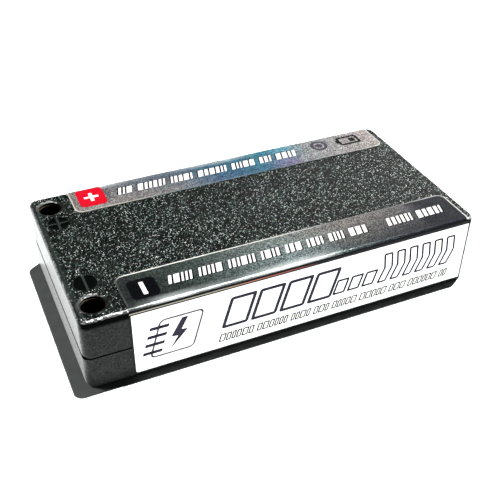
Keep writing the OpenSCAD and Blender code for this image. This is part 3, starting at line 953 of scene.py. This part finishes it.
# Brightness of the surroundings in reflections, on the dark side and on the lit side, and the
# bounds of a direction's X between which one turns into the other
ROOM_DARK = 0.05
ROOM_LIGHT = 2.0
ROOM_TURN = (0.3, 0.65)
# Extra brightness of the floor for every ray but the camera's
FLOOR_GLOW = 1.7
# Brightness of the surroundings for diffuse light
AMBIENT = 0.12

CAMERA_AZIMUTH = math.radians(-24.59)
CAMERA_ELEVATION = math.radians(36.72)
CAMERA_ROLL = math.radians(0.78)
CAMERA_DISTANCE = 187.6 * MM
CAMERA_AIM = CENTRE + Vector((-1.7, -3.0, 0.0)) * MM
CAMERA_LENS = 57.9


def make_floor():
    """A big floor that its own lights burn out to white, with dark shadows left in it.

    It glows for every ray but the camera's, so that it lights the sides evenly.
    """
    g = Graph("studio_floor")
    speck = g.noise(3 * MM, 2.0, 0.5)
    colour = g.ramp(speck, [(0.3, rgb(60, 62, 61)), (0.7, rgb(64, 66, 65))])
    seen = g.add("LightPath").outputs["Is Camera Ray"]
    glow = g.times(g.flipped(seen), FLOOR_GLOW)
    material = g.finish(Base_Color=colour, Roughness=1.0, Specular_IOR_Level=0.0,
                        Emission_Color=(1.0, 1.0, 1.0, 1.0), Emission_Strength=glow)
    half = FLOOR_SIZE / 2
    corners = [(-half, -half, 0), (half, -half, 0), (half, half, 0), (-half, half, 0)]
    mesh = bpy.data.meshes.new("studio_floor")
    mesh.from_pydata(corners, [], [(0, 1, 2, 3)])
    mesh.materials.append(material)
    floor = bpy.data.objects.new("studio_floor", mesh)
    bpy.context.scene.collection.objects.link(floor)
    floor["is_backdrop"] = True
    return floor


def collection_of(name, objects):
    """A collection of these objects, for lights that reach nothing else."""
    group = bpy.data.collections.new(name)
    for item in objects:
        group.objects.link(item)
    return group


def sun(name, direction, lights_up, strength, softness, kind="both"):
    """A sun that lights only one collection. softness is its width in degrees.

    kind is "matte" for diffuse light only, "gloss" for reflections only, or "both".
    """
    data = bpy.data.lights.new(name, "SUN")
    data.energy = strength
    data.angle = math.radians(softness)
    lamp = bpy.data.objects.new(name, data)
    lamp.rotation_mode = "QUATERNION"
    lamp.rotation_quaternion = direction.to_track_quat("Z", "Y")
    lamp.visible_diffuse = kind != "gloss"
    lamp.visible_glossy = kind != "matte"
    bpy.context.scene.collection.objects.link(lamp)
    lamp.light_linking.receiver_collection = lights_up


def make_world():
    """White for the camera, dim for diffuse light, and a dark room in reflections."""
    world = bpy.data.worlds.new("studio")
    bpy.context.scene.world = world
    world.use_nodes = True
    tree = world.node_tree
    paths = add_node(tree, "LightPath").outputs
    direction = add_node(tree, "TexCoord").outputs["Generated"]
    direction_x = add_node(tree, "SeparateXYZ", {}, {0: direction}).outputs["X"]
    room = add_node(tree, "MapRange", {}, {
        "Value": direction_x, "From Min": ROOM_TURN[0], "From Max": ROOM_TURN[1],
        "To Min": ROOM_DARK, "To Max": ROOM_LIGHT}).outputs[0]
    dim = add_node(tree, "Mix", {}, {0: paths["Is Diffuse Ray"], 2: room, 3: AMBIENT}).outputs[0]
    level = add_node(tree, "Mix", {}, {0: paths["Is Camera Ray"], 2: dim, 3: 1.0}).outputs[0]
    feed(tree, tree.nodes["Background"], {"Color": (1.0, 1.0, 1.0, 1.0), "Strength": level})


def make_camera():
    """The photo's point of view, as angles and a distance from the aimed point."""
    back = Vector((
        math.sin(CAMERA_AZIMUTH) * math.cos(CAMERA_ELEVATION),
        -math.cos(CAMERA_AZIMUTH) * math.cos(CAMERA_ELEVATION),
        math.sin(CAMERA_ELEVATION),
    ))
    data = bpy.data.cameras.new("camera")
    data.lens = CAMERA_LENS
    data.clip_start = 0.01
    camera = bpy.data.objects.new("camera", data)
    camera.location = CAMERA_AIM + back * CAMERA_DISTANCE
    camera.rotation_mode = "QUATERNION"
    facing = (-back).to_track_quat("-Z", "Y")
    camera.rotation_quaternion = facing @ Matrix.Rotation(CAMERA_ROLL, 3, "Z").to_quaternion()
    bpy.context.scene.collection.objects.link(camera)
    bpy.context.scene.camera = camera


bpy.context.scene.view_settings.view_transform = "Standard"
floor = make_floor()
object_parts = collection_of("object_parts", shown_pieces())
floor_parts = collection_of("floor_parts", [floor])
sun("key_on_object", SUN_FROM, object_parts, strength=5.0, softness=2.5, kind="matte")
sun("gleam_on_object", SUN_FROM, object_parts, strength=9.0, softness=20.0, kind="gloss")
sun("key_on_floor", SUN_FROM, floor_parts, strength=150.0, softness=0.9)
sun("fill_on_floor", FILL_FROM, floor_parts, strength=9.0, softness=25.0)
make_world()
make_camera()
